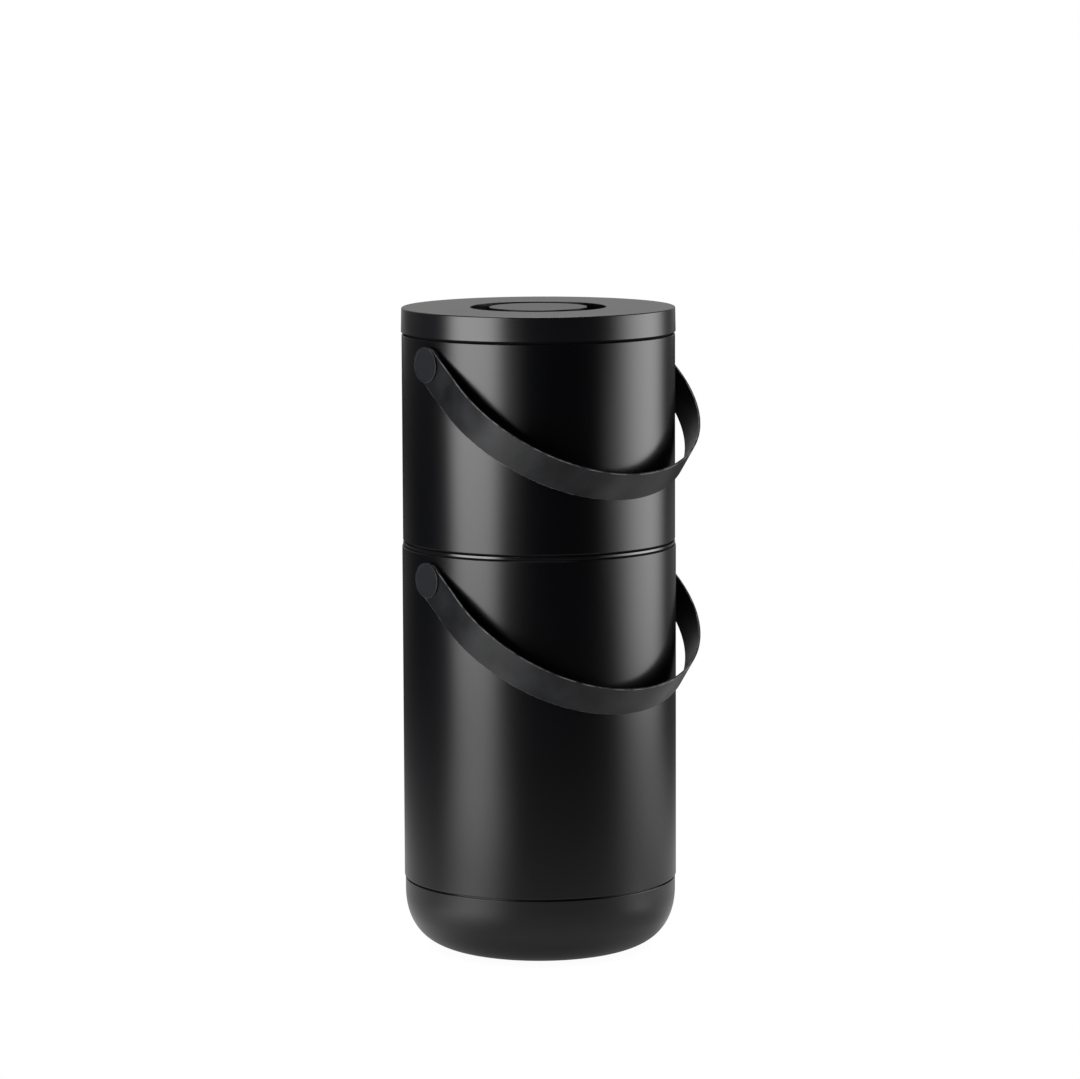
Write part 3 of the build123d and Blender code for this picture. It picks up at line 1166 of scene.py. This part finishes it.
@dataclass
class Lid(Assembly):
    """Flat lid with a drafted skirt, a finger well and a round grip."""

    draft: float = math.radians(1.1)
    skirt_wall: float = 3.0 * MM
    top_wall: float = 2.5 * MM
    edge_round: float = 1.0 * MM
    well_edge: float = 0.5 * MM
    plug_inset: float = 5.9 * MM
    plug_rib: float = 3.0 * MM
    seal_groove: float = 1.5 * MM
    finger_gap: float = 16.8 * MM
    well_corner: float = 12.0 * MM
    flange_depth: float = 1.5 * MM
    screw_bore: float = 2.6 * MM
    grip_round: float = 0.45 * MM
    thread_bore: float = 2.55 * MM
    thread_depth: float = 3.0 * MM

    @property
    def well_radius(self) -> float:
        """Radius of the finger well, from the grip's radius and the gap round it."""
        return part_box("lid_grip")[1].x + self.finger_gap

    def cap(self) -> None:
        """Ring-shaped top with its skirt and plug rib."""
        low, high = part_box("lid_cap")
        seal_low, seal_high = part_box("lid_seal")
        rim_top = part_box("upper_rim")[1].z
        radius = high.x
        top_radius = radius - (high.z - rim_top) * math.tan(self.draft)
        plate = high.z - self.top_wall
        plug = radius - self.plug_inset
        corners = [
            Corner(self.well_radius, plate),
            Corner(plug - self.plug_rib, plate),
            Corner(plug - self.plug_rib, low.z),
            Corner(plug, low.z),
            Corner(plug, seal_low.z),
            Corner(plug - self.seal_groove, seal_low.z),
            Corner(plug - self.seal_groove, seal_high.z),
            Corner(plug, seal_high.z),
            Corner(plug, plate),
            Corner(radius - self.skirt_wall, plate),
            Corner(radius - self.skirt_wall, rim_top),
            Corner(radius, rim_top),
            Corner(top_radius, high.z, self.edge_round),
            Corner(self.well_radius, high.z, self.well_edge),
        ]
        piece = Lathe(corners).faces().make("lid_top_ring")
        self.seat(piece, LID_SATIN, "lid_moulding", "lid_cap")

    def well(self) -> None:
        """Bowl under the opening of the lid, with its flange."""
        low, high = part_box("lid_well")
        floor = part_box("lid_grip_stem")[0].z
        wall = floor - low.z
        back = self.well_radius + wall
        corners = [
            Corner(self.screw_bore, low.z),
            Corner(back, low.z, self.well_corner + wall),
            Corner(back, high.z - self.flange_depth),
            Corner(high.x, high.z - self.flange_depth),
            Corner(high.x, high.z),
            Corner(self.well_radius, high.z),
            Corner(self.well_radius, floor, self.well_corner),
            Corner(self.screw_bore, floor),
        ]
        piece = Lathe(corners, Lathe.LID_SEGMENTS).faces().make("finger_well")
        self.seat(piece, WELL_MATT, "lid_moulding", "lid_well")

    def grip(self) -> None:
        """Round disc level with the lid's top."""
        low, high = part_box("lid_grip")
        corners = [
            Corner(0, low.z + self.thread_depth),
            Corner(self.thread_bore, low.z + self.thread_depth),
            Corner(self.thread_bore, low.z),
            Corner(high.x, low.z, self.grip_round),
            Corner(high.x, high.z, self.grip_round),
            Corner(0, high.z),
        ]
        piece = Lathe(corners, Lathe.LID_SEGMENTS, ring=False).faces().make("grip_disc")
        self.seat(piece, GRIP_SATIN, "grip_moulding", "lid_grip")

    def build(self) -> None:
        """Make the lid and dress what is under it."""
        self.cap()
        self.well()
        self.grip()
        self.keep(GRIP_SATIN, "lid_grip_stem")
        self.keep(BRUSHED_STEEL, "lid_grip_screw")
        self.keep(BLACK_RUBBER, "lid_seal")


class StripPoint(NamedTuple):
    """Place on a strap's edge: outer and inner face points, offset across, edge normal and face normal."""

    outer: Vector
    inner: Vector
    across: float
    edge_along: Vector
    edge_across: float
    facing: Vector


class EdgeLine(NamedTuple):
    """Line round a strap's edge: distance in from it, depth under the outer face, and lean of the normal."""

    inset: float
    depth: float
    lean: float


@dataclass
class StrapHandle(Assembly):
    """Flat bowed strap with two straight legs and rounded ends."""

    tier: Tier = Tier.LOWER
    width: float = 30.4 * MM
    thickness: float = 1.8 * MM
    edge_round: float = 0.6 * MM
    leg: float = 33.0 * MM
    flare: float = math.radians(4.0)
    hole: float = 6.05 * MM
    bow_steps: int = 94
    end_steps: int = 16
    round_steps: int = 4

    def __post_init__(self) -> None:
        """Work out the strap's plane and bow from the frame."""
        low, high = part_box(f"{self.tier.value}_handle_strap")
        cap_low, cap_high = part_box(f"{self.tier.value}_left_pivot_cap")
        self.pivot = Vector((0, 0, (cap_low.z + cap_high.z) / 2))
        self.bow_radius = high.x
        self.leg_face = self.bow_radius * math.cos(self.flare)
        self.bow_centre = self.leg + self.bow_radius * math.sin(self.flare)
        self.half = self.width / 2
        self.flat_half = self.half - self.edge_round
        reach = self.bow_centre + self.bow_radius - self.edge_round
        drop = self.pivot.z - low.z - self.edge_round
        tilt = math.asin(drop / math.hypot(reach, self.flat_half)) - math.atan2(self.flat_half, reach)
        self.along = Vector((0, -math.cos(tilt), -math.sin(tilt)))
        self.sideways = Vector((0, math.sin(tilt), -math.cos(tilt)))

    def _turn(self, way: Vector, across: float) -> Vector:
        """Direction in the strap's own plane and across it, in the frame."""
        return Vector((way.x, 0, 0)) + self.along * way.y + self.sideways * across

    def _place(self, spot: Vector, across: float) -> Vector:
        """Point of the strap's own plane, moved across the strap, in the frame."""
        return self.pivot + self._turn(spot, across)

    def _inner_leg(self) -> float:
        """Where the inner face of the leg meets the inner face of the bow."""
        inner_bow = self.bow_radius - self.thickness
        return self.bow_centre - math.sqrt(inner_bow**2 - (self.leg_face - self.thickness) ** 2)

    def _leg_point(self, side: int, along: float, across: float, edge: Vector) -> StripPoint:
        """Edge point on a leg.

        Args:
            side: Sign of X of the leg.
            along: Distance from the pivot towards the bow.
            across: Distance from the middle of the strap.
            edge: Normal of the edge, along and across.

        Returns:
            The edge point.
        """
        inner_along = self._inner_leg() if along == self.leg else along
        outer = Vector((side * self.leg_face, along))
        inner = Vector((side * (self.leg_face - self.thickness), inner_along))
        return StripPoint(outer, inner, across, Vector((0, edge.x)), edge.y, Vector((side, 0)))

    def _bow_run(self, side: int, across: float) -> list[StripPoint]:
        """Edge points along the bow, from the right leg to the left.

        Args:
            side: Which long edge, as the sign across the strap.
            across: Distance from the middle of the strap.

        Returns:
            The edge points.
        """
        sweep = math.pi + 2 * self.flare
        centre = Vector((0, self.bow_centre))
        run = []
        for step in range(self.bow_steps + 1):
            angle = sweep * step / self.bow_steps - self.flare
            facing = Vector((math.cos(angle), math.sin(angle)))
            outer = centre + facing * self.bow_radius
            inner = centre + facing * (self.bow_radius - self.thickness)
            if step in (0, self.bow_steps):
                inner = Vector((math.copysign(self.leg_face - self.thickness, outer.x), self._inner_leg()))
            run.append(StripPoint(outer, inner, across, Vector((0, 0)), side, facing))
        return run

    def _end_run(self, side: int) -> list[StripPoint]:
        """Edge points of one rounded end, from the upper edge round to the lower edge.

        Args:
            side: Sign of X of the leg.

        Returns:
            The edge points.
        """
        run = [self._leg_point(side, self.leg, -self.half, Vector((0, -1)))]
        for step in range(self.end_steps * 2 + 1):
            angle = math.pi * step / (self.end_steps * 2)
            edge = Vector((-math.sin(angle), -math.cos(angle)))
            run.append(self._leg_point(side, edge.x * self.half, edge.y * self.half, edge))
        run.append(self._leg_point(side, self.leg, self.half, Vector((0, 1))))
        return run

    def _hole_run(self, side: int) -> list[StripPoint]:
        """Points round the pivot hole of one leg.

        Args:
            side: Sign of X of the leg.

        Returns:
            The points, the first one again at the end.
        """
        run = []
        for step in range(self.end_steps * 4 + 1):
            angle = 2 * math.pi * step / (self.end_steps * 4)
            spot = Vector((-math.cos(angle), -math.sin(angle)))
            run.append(self._leg_point(side, spot.x * self.hole, spot.y * self.hole, -spot))
        return run

    def _edge_lines(self) -> list[EdgeLine]:
        """Lines round the strap's edge, from the outer face to the inner.

        Returns:
            The lines in order.
        """
        lines = []
        for step in range(self.round_steps + 1):
            lean = math.pi / 2 * step / self.round_steps
            inset = self.edge_round * (1 - math.sin(lean))
            lines.append(EdgeLine(inset, self.edge_round * (1 - math.cos(lean)), lean))
        back = [EdgeLine(line.inset, self.thickness - line.depth, math.pi - line.lean) for line in lines]
        return lines + back[::-1]

    def _edge_corner(self, point: StripPoint, line: EdgeLine) -> FaceCorner:
        """Corner on the rounded edge of the strap.

        Args:
            point: Edge point.
            line: Line round the edge.

        Returns:
            The face corner.
        """
        share = line.depth / self.thickness
        spot = point.outer.lerp(point.inner, share) - point.edge_along * line.inset
        across = point.across - point.edge_across * line.inset
        face = self._turn(point.facing, 0) * math.cos(line.lean)
        edge = self._turn(point.edge_along, point.edge_across) * math.sin(line.lean)
        # The edge value peaks halfway round the rounding; there the strap's pale edge colour paints a thin
        # highlight line.
        return FaceCorner(self._place(spot, across), (face + edge).normalized(), abs(math.sin(2 * line.lean)))

    def _flat_corner(self, point: StripPoint, across: float, depth: float) -> FaceCorner:
        """Corner on the outer or inner face of the strap.

        Args:
            point: Edge point that gives the place along the strap.
            across: Distance from the middle of the strap.
            depth: Depth under the outer face, 0 or the thickness.

        Returns:
            The face corner.
        """
        spot = point.outer.lerp(point.inner, depth / self.thickness)
        facing = point.facing if depth == 0 else -point.facing
        return FaceCorner(self._place(spot, across), self._turn(facing, 0))

    def _edge_faces(self, collector: FaceCollector, run: Sequence[StripPoint]) -> None:
        """Faces of the rounded edge along a run.

        Args:
            collector: Takes the faces.
            run: Edge points in order.
        """
        lines = self._edge_lines()
        for here, after in zip(run, run[1:]):
            for upper, lower in zip(lines, lines[1:]):
                quad = ((here, upper), (here, lower), (after, lower), (after, upper))
                collector.add([self._edge_corner(point, line) for point, line in quad])

    def _bow_faces(self, collector: FaceCollector) -> None:
        """Outer and inner faces along the bow.

        Args:
            collector: Takes the faces.
        """
        run = self._bow_run(1, self.flat_half)
        for first, second in zip(run, run[1:]):
            for low, high in ((-self.flat_half, 0.0), (0.0, self.flat_half)):
                for depth in (0.0, self.thickness):
                    quad = ((first, low), (second, low), (second, high), (first, high))
                    collector.add([self._flat_corner(point, across, depth) for point, across in quad])

    def _end_faces(self, collector: FaceCollector, side: int) -> None:
        """Flat faces of one leg, with the pivot hole, and the wall of the hole.

        Args:
            collector: Takes the faces.
            side: Sign of X of the leg.
        """
        run = self._end_run(side)
        hole = self._hole_run(side)
        bow = self._leg_point(side, self.leg, 0.0, Vector((0, 0)))
        run_middle = len(run) // 2
        hole_middle = len(hole) // 2
        halves = (
            (run[: run_middle + 1], hole[: hole_middle + 1]),
            (run[run_middle:][::-1], hole[hole_middle:][::-1]),
        )
        lines = self._edge_lines()
        for line, depth in ((lines[0], 0.0), (lines[-1], self.thickness)):
            for edge, rim in halves:
                loop = [self._edge_corner(point, line) for point in edge]
                loop += [self._flat_corner(point, point.across, depth) for point in rim]
                loop.append(self._flat_corner(bow, 0.0, depth))
                collector.add(loop)
        for here, after in zip(hole, hole[1:]):
            quad = []
            for point, depth in ((here, 0.0), (after, 0.0), (after, self.thickness), (here, self.thickness)):
                corner = self._flat_corner(point, point.across, depth)
                quad.append(corner._replace(normal=self._turn(point.edge_along, point.edge_across)))
            collector.add(quad)

    def build(self) -> None:
        """Make the strap."""
        collector = FaceCollector()
        for side in (1, -1):
            self._edge_faces(collector, self._end_run(side))
            self._end_faces(collector, side)
        for side in (1, -1):
            self._edge_faces(collector, self._bow_run(side, side * self.half))
        self._bow_faces(collector)
        piece = collector.make(f"{self.tier.value}_strap")
        self.seat(piece, SOFT_STRAP, "strap_moulding", f"{self.tier.value}_handle_strap")


@dataclass(frozen=True)
class AreaLamp:
    """Flat rectangular lamp that the camera doesn't see; angles in degrees, sizes in metres."""

    name: str
    azimuth: float
    radiance: float
    width: float

    WATTS_PER_AREA = 4.0

    def hang(self, length: float, place: Vector, tilt: float) -> bpy.types.AreaLight:
        """Make the lamp and put it up.

        Args:
            length: Its size square to its width.
            place: Where its middle hangs.
            tilt: Angle from facing down, in radians.

        Returns:
            The lamp's data.
        """
        lamp = bpy.data.lights.new(self.name, "AREA")
        lamp.shape = "RECTANGLE"
        lamp.size = self.width
        lamp.size_y = length
        lamp.energy = self.WATTS_PER_AREA * self.radiance * lamp.size * lamp.size_y
        stand = bpy.data.objects.new(self.name, lamp)
        stand.location = place
        stand.rotation_euler = (tilt, 0, math.radians(self.azimuth))
        stand.visible_camera = False
        bpy.context.scene.collection.objects.link(stand)
        return lamp

    def build(self) -> None:
        """Put the lamp up in its own way."""
        raise NotImplementedError


@dataclass(frozen=True)
class Softbox(AreaLamp):
    """Standing lamp whose light fades towards its sides and its lower end and may widen with height.

    full_height and widening are shares of its height, and flank is a share of its width.
    """

    low: float
    high: float
    full_height: float
    lower_share: float
    flank: float
    spread: float = 0.0
    widening: tuple[float, float] = (0.307, 0.46)
    distance: float = 1.5

    MIDDLE = 0.5

    def build(self) -> None:
        """Put the lamp up, facing the bin's axis."""
        place = round_axis(self.azimuth, self.distance, (self.low + self.high) / 2)
        lamp = self.hang(self.high - self.low, place, math.pi / 2)
        lamp.use_nodes = True
        bench = NodeBench(lamp.node_tree)
        spot = bench.node("SeparateXYZ", {"Vector": bench.node("NewGeometry").outputs["Parametric"]})
        wider = bench.step(spot.outputs["Y"], *self.widening, 1.0, 1.0 + self.spread)
        centred = bench.math("SUBTRACT", spot.outputs["X"], self.MIDDLE)
        across = bench.math("ADD", bench.math("DIVIDE", centred, wider), self.MIDDLE)
        rising = bench.step(across, 0.0, self.flank)
        falling = bench.step(across, 1.0 - self.flank, 1.0, 1.0, 0.0)
        inputs = {"Value": spot.outputs["Y"], "From Max": self.full_height, "To Min": self.lower_share}
        fade = bench.node("MapRange", inputs).outputs["Result"]
        strength = bench.math("MULTIPLY", bench.math("MULTIPLY", rising, falling), fade)
        bench.feed(lamp.node_tree.nodes["Emission"].inputs["Strength"], strength)


@dataclass(frozen=True)
class TopPanel(AreaLamp):
    """Long soft panel overhead, which lights the upper edges, the lid and the insides."""

    length: float
    height: float
    back: float

    def build(self) -> None:
        """Put the panel up, facing down, with its middle behind the bin."""
        self.hang(self.length, round_axis(self.azimuth, -self.back, self.height), 0.0)


@dataclass(frozen=True)
class FloorPool:
    """Round patch of light on the floor, seen in reflections; a level below 0 is shade."""

    azimuth: float
    distance: float
    radius: float
    level: float

    def glow(self, bench: NodeBench, place: Socket, under: Socket) -> Socket:
        """Add this patch to the light that is there already.

        Args:
            bench: Bench on the floor's tree.
            place: Place on the floor.
            under: Light without this patch.

        Returns:
            The light with it.
        """
        away = bench.vector("DISTANCE", place, round_axis(self.azimuth, self.distance))
        return bench.math("ADD", bench.step(away, 0.0, self.radius, self.level, 0.0), under)


@dataclass
class Studio:
    """Camera, lamps, pale floor and white surroundings; angles in degrees, sizes in metres.

    foot_shade pairs distances from the axis with the share of light left there. room_turn holds the cosines
    between which the room goes from its front level to its back level.
    """

    azimuth: float = CAMERA_AZIMUTH
    distance: float = 3.881
    height: float = 0.8625
    pitch: float = 7.364
    roll: float = -0.227
    sideways: float = 0.0008
    lens: float = 148.70
    sensor: float = 36.0
    far_end: float = 100.0
    floor_size: float = 12.0
    floor_level: float = 1.55
    floor_fade: float = 0.40
    foot_shade: tuple[tuple[float, float], ...] = ((0.092, 0.22), (0.134, 0.62), (0.25, 0.62), (0.45, 1.0))
    floor_front: float = 0.72
    front_angles: tuple[float, float] = (75.0, 20.0)
    contact_reach: float = 0.009
    contact_shade: float = 0.965
    pools: tuple[FloorPool, ...] = (
        FloorPool(azimuth=-91.0, distance=0.92, radius=0.60, level=3.25),
        FloorPool(azimuth=-91.0, distance=0.32, radius=0.20, level=1.7),
        FloorPool(azimuth=57.0, distance=0.95, radius=0.7, level=0.95),
        FloorPool(azimuth=36.0, distance=0.31, radius=0.11, level=1.0),
        FloorPool(azimuth=112.0, distance=2.9, radius=1.9, level=0.23),
        FloorPool(azimuth=-191.0, distance=2.9, radius=2.0, level=0.10),
        FloorPool(azimuth=40.0, distance=0.15, radius=0.10, level=-0.2),
    )
    front_level: float = 0.006
    back_level: float = 0.16
    room_turn: tuple[float, float] = (-0.2, 0.8)
    fill: float = 0.18
    backdrop: float = 0.265
    backdrop_angles: tuple[float, float] = (38.0, 14.0)
    lamps: tuple[AreaLamp, ...] = (
        TopPanel("top_panel", CAMERA_AZIMUTH, radiance=3.6, width=0.9, length=2.2, height=2.2, back=0.6),
        Softbox(
            "left_softbox",
            azimuth=-93.5,
            radiance=6.3,
            width=1.5,
            low=0.0,
            high=0.75,
            full_height=0.843,
            lower_share=0.443,
            flank=0.3,
            spread=0.14,
        ),
        Softbox(
            "right_softbox",
            azimuth=55.0,
            radiance=4.0,
            width=2.2,
            low=0.0,
            high=0.78,
            full_height=0.705,
            lower_share=0.75,
            flank=0.45,
        ),
        Softbox(
            "left_spill",
            azimuth=-67.0,
            radiance=1.3,
            width=1.0,
            low=0.26,
            high=0.45,
            full_height=0.55,
            lower_share=0.2,
            flank=0.5,
        ),
        Softbox(
            "right_spill",
            azimuth=21.0,
            radiance=0.75,
            width=0.7,
            low=0.14,
            high=0.4,
            full_height=0.55,
            lower_share=0.3,
            flank=0.5,
        ),
    )

    def camera(self) -> None:
        """Camera at the photograph's viewing angle."""
        made = bpy.data.cameras.new("studio_camera")
        made.lens = self.lens
        made.sensor_width = self.sensor
        made.clip_end = self.far_end
        stand = bpy.data.objects.new("studio_camera", made)
        beside = round_axis(self.azimuth + 90, self.sideways)
        place = round_axis(self.azimuth, self.distance, self.height) + beside
        turn = Matrix.Rotation(math.radians(self.azimuth), 4, "Z")
        turn @= Matrix.Rotation(math.radians(90 - self.pitch), 4, "X")
        turn @= Matrix.Rotation(math.radians(self.roll), 4, "Z")
        stand.matrix_world = Matrix.Translation(place) @ turn
        bpy.context.scene.collection.objects.link(stand)
        bpy.context.scene.camera = stand

    @staticmethod
    def _cosines(angles: tuple[float, float]) -> tuple[float, float]:
        """Cosines of two angles in degrees."""
        first, second = angles
        return math.cos(math.radians(first)), math.cos(math.radians(second))

    def _foot_ramp(self, bench: NodeBench, away: Socket) -> Socket:
        """Shade round the foot of the bin, by the distance from its axis.

        Args:
            bench: Bench on the floor's tree.
            away: Distance from the axis.

        Returns:
            The share of the light that is left.
        """
        ramp = bench.node("ValToRGB", {"Fac": away})
        stops = ramp.color_ramp.elements
        for radius, _ in self.foot_shade[1:-1]:
            stops.new(radius)
        for stop, (radius, share) in zip(stops, self.foot_shade):
            stop.position = radius
            stop.color = (share, share, share, 1.0)
        return ramp.outputs["Color"]

    def _floor_light(self, bench: NodeBench) -> Socket:
        """Light of the floor as reflections see it.

        Args:
            bench: Bench on the floor's tree.

        Returns:
            The strength of the light.
        """
        place = bench.node("TexCoord").outputs["Object"]
        away = bench.vector("LENGTH", place)
        fade = bench.math("POWER", math.exp(-1 / self.floor_fade), away)
        front = bench.vector("DOT_PRODUCT", bench.vector("NORMALIZE", place), round_axis(self.azimuth, 1.0))
        dimmed = self.floor_level * self.floor_front
        level = bench.step(front, *self._cosines(self.front_angles), self.floor_level, dimmed)
        light = bench.math("MULTIPLY", bench.math("MULTIPLY", fade, self._foot_ramp(bench, away)), level)
        for pool in self.pools:
            light = pool.glow(bench, place, light)
        return light

    def floor(self) -> None:
        """Pale floor: white to the camera, fading with distance in reflections, with a contact shadow."""
        half = self.floor_size / 2
        outline = [(-half, -half, 0), (half, -half, 0), (half, half, 0), (-half, half, 0)]
        mesh = bpy.data.meshes.new("studio_floor")
        mesh.from_pydata(outline, [], [(0, 1, 2, 3)])
        floor = bpy.data.objects.new("studio_floor", mesh)
        bpy.context.scene.collection.objects.link(floor)
        made = bpy.data.materials.new("pale_floor")
        made.use_nodes = True
        tree = made.node_tree
        tree.nodes.remove(tree.nodes["Principled BSDF"])
        bench = NodeBench(tree)
        seen = bench.node("LightPath").outputs["Is Camera Ray"]
        contact = bench.node("AmbientOcclusion", {"Distance": self.contact_reach}).outputs["AO"]
        shade = bench.node("MapRange", {"Value": contact, "To Min": self.contact_shade}).outputs["Result"]
        level = bench.node("Mix", {"Factor": seen, "A": self._floor_light(bench), "B": shade})
        glow = bench.node("Emission", {"Strength": level.outputs["Result"]})
        tree.links.new(glow.outputs["Emission"], tree.nodes["Material Output"].inputs["Surface"])
        mesh.materials.append(made)

    def surroundings(self) -> None:
        """World: white to the camera, a pale backdrop behind the bin in reflections, dim elsewhere."""
        world = bpy.data.worlds.new("studio_surroundings")
        bpy.context.scene.world = world
        world.use_nodes = True
        world.cycles.sampling_method = "NONE"
        bench = NodeBench(world.node_tree)
        path = bench.node("LightPath").outputs
        way = bench.node("TexCoord").outputs["Generated"]
        behind = bench.vector("DOT_PRODUCT", way, round_axis(self.azimuth, -1.0))
        window = bench.step(behind, *self._cosines(self.backdrop_angles), 0.0, self.backdrop)
        room = bench.step(behind, *self.room_turn, self.front_level, self.back_level)
        seen = bench.math("MULTIPLY_ADD", path["Is Glossy Ray"], window, room)
        filled = bench.math("MULTIPLY_ADD", path["Is Diffuse Ray"], self.fill, seen)
        level = bench.node("Mix", {"Factor": path["Is Camera Ray"], "A": filled, "B": 1.0})
        sky = world.node_tree.nodes["Background"].inputs
        bench.feed(sky["Color"], (1.0, 1.0, 1.0, 1.0))
        bench.feed(sky["Strength"], level.outputs["Result"])

    def build(self) -> None:
        """Set up the whole studio."""
        bpy.context.scene.view_settings.view_transform = "Standard"
        self.camera()
        self.floor()
        self.surroundings()
        for lamp in self.lamps:
            lamp.build()


def main() -> None:
    """Build the bin piece by piece, then the studio, and log which body each piece rides on."""
    logging.basicConfig(level=logging.INFO, format="%(name)s: %(message)s")
    assemblies = (
        BaseBucket("lower_bucket"),
        TopBucket("upper_bucket"),
        Lid("lid"),
        StrapHandle("lower_handle", tier=Tier.LOWER),
        StrapHandle("upper_handle", tier=Tier.UPPER),
    )
    for assembly in assemblies:
        assembly.build()
        for piece in assembly.pieces:
            log.info("%s is on %s", piece, assembly.body)
    Studio().build()


if __name__ == "__main__":
    main()
